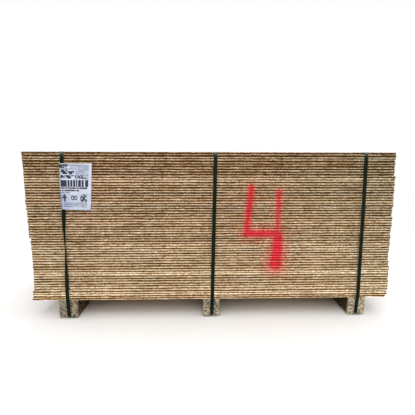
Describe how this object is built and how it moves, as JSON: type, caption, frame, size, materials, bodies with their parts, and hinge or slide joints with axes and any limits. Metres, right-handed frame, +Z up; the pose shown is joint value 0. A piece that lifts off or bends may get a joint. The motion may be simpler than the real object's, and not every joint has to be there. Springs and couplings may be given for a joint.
{
  "type": "stack of osb panels",
  "caption": "Strapped pile of sawn oriented-strand boards lying flat on pressed-chip bearers, with fork gaps beneath and a paper label on the front edge.",
  "frame": {"origin": "on the floor, under the middle of the stack", "axes": "+X along the panels' length, to the right as seen from the front, -Y towards the front with the label, +Z up"},
  "size_m": [2.5203, 1.287, 1.1678],
  "materials": {
    "osb": "sawn, matt",
    "pressed_chip": "rough, matt",
    "strap": "embossed, satin",
    "paper": "smooth, matt"
  },
  "bodies": {
    "root": {"panel_lift_1": "osb", "panel_lift_2": "osb", "panel_lift_3": "osb", "panel_lift_4": "osb", "panel_lift_5": "osb", "panel_lift_6": "osb", "top_panel": "osb", "bearer_left": "pressed_chip", "bearer_middle": "pressed_chip", "bearer_right": "pressed_chip", "strap_left": "strap", "strap_middle": "strap", "strap_right": "strap", "label": "paper"}
  },
  "joints": []
}
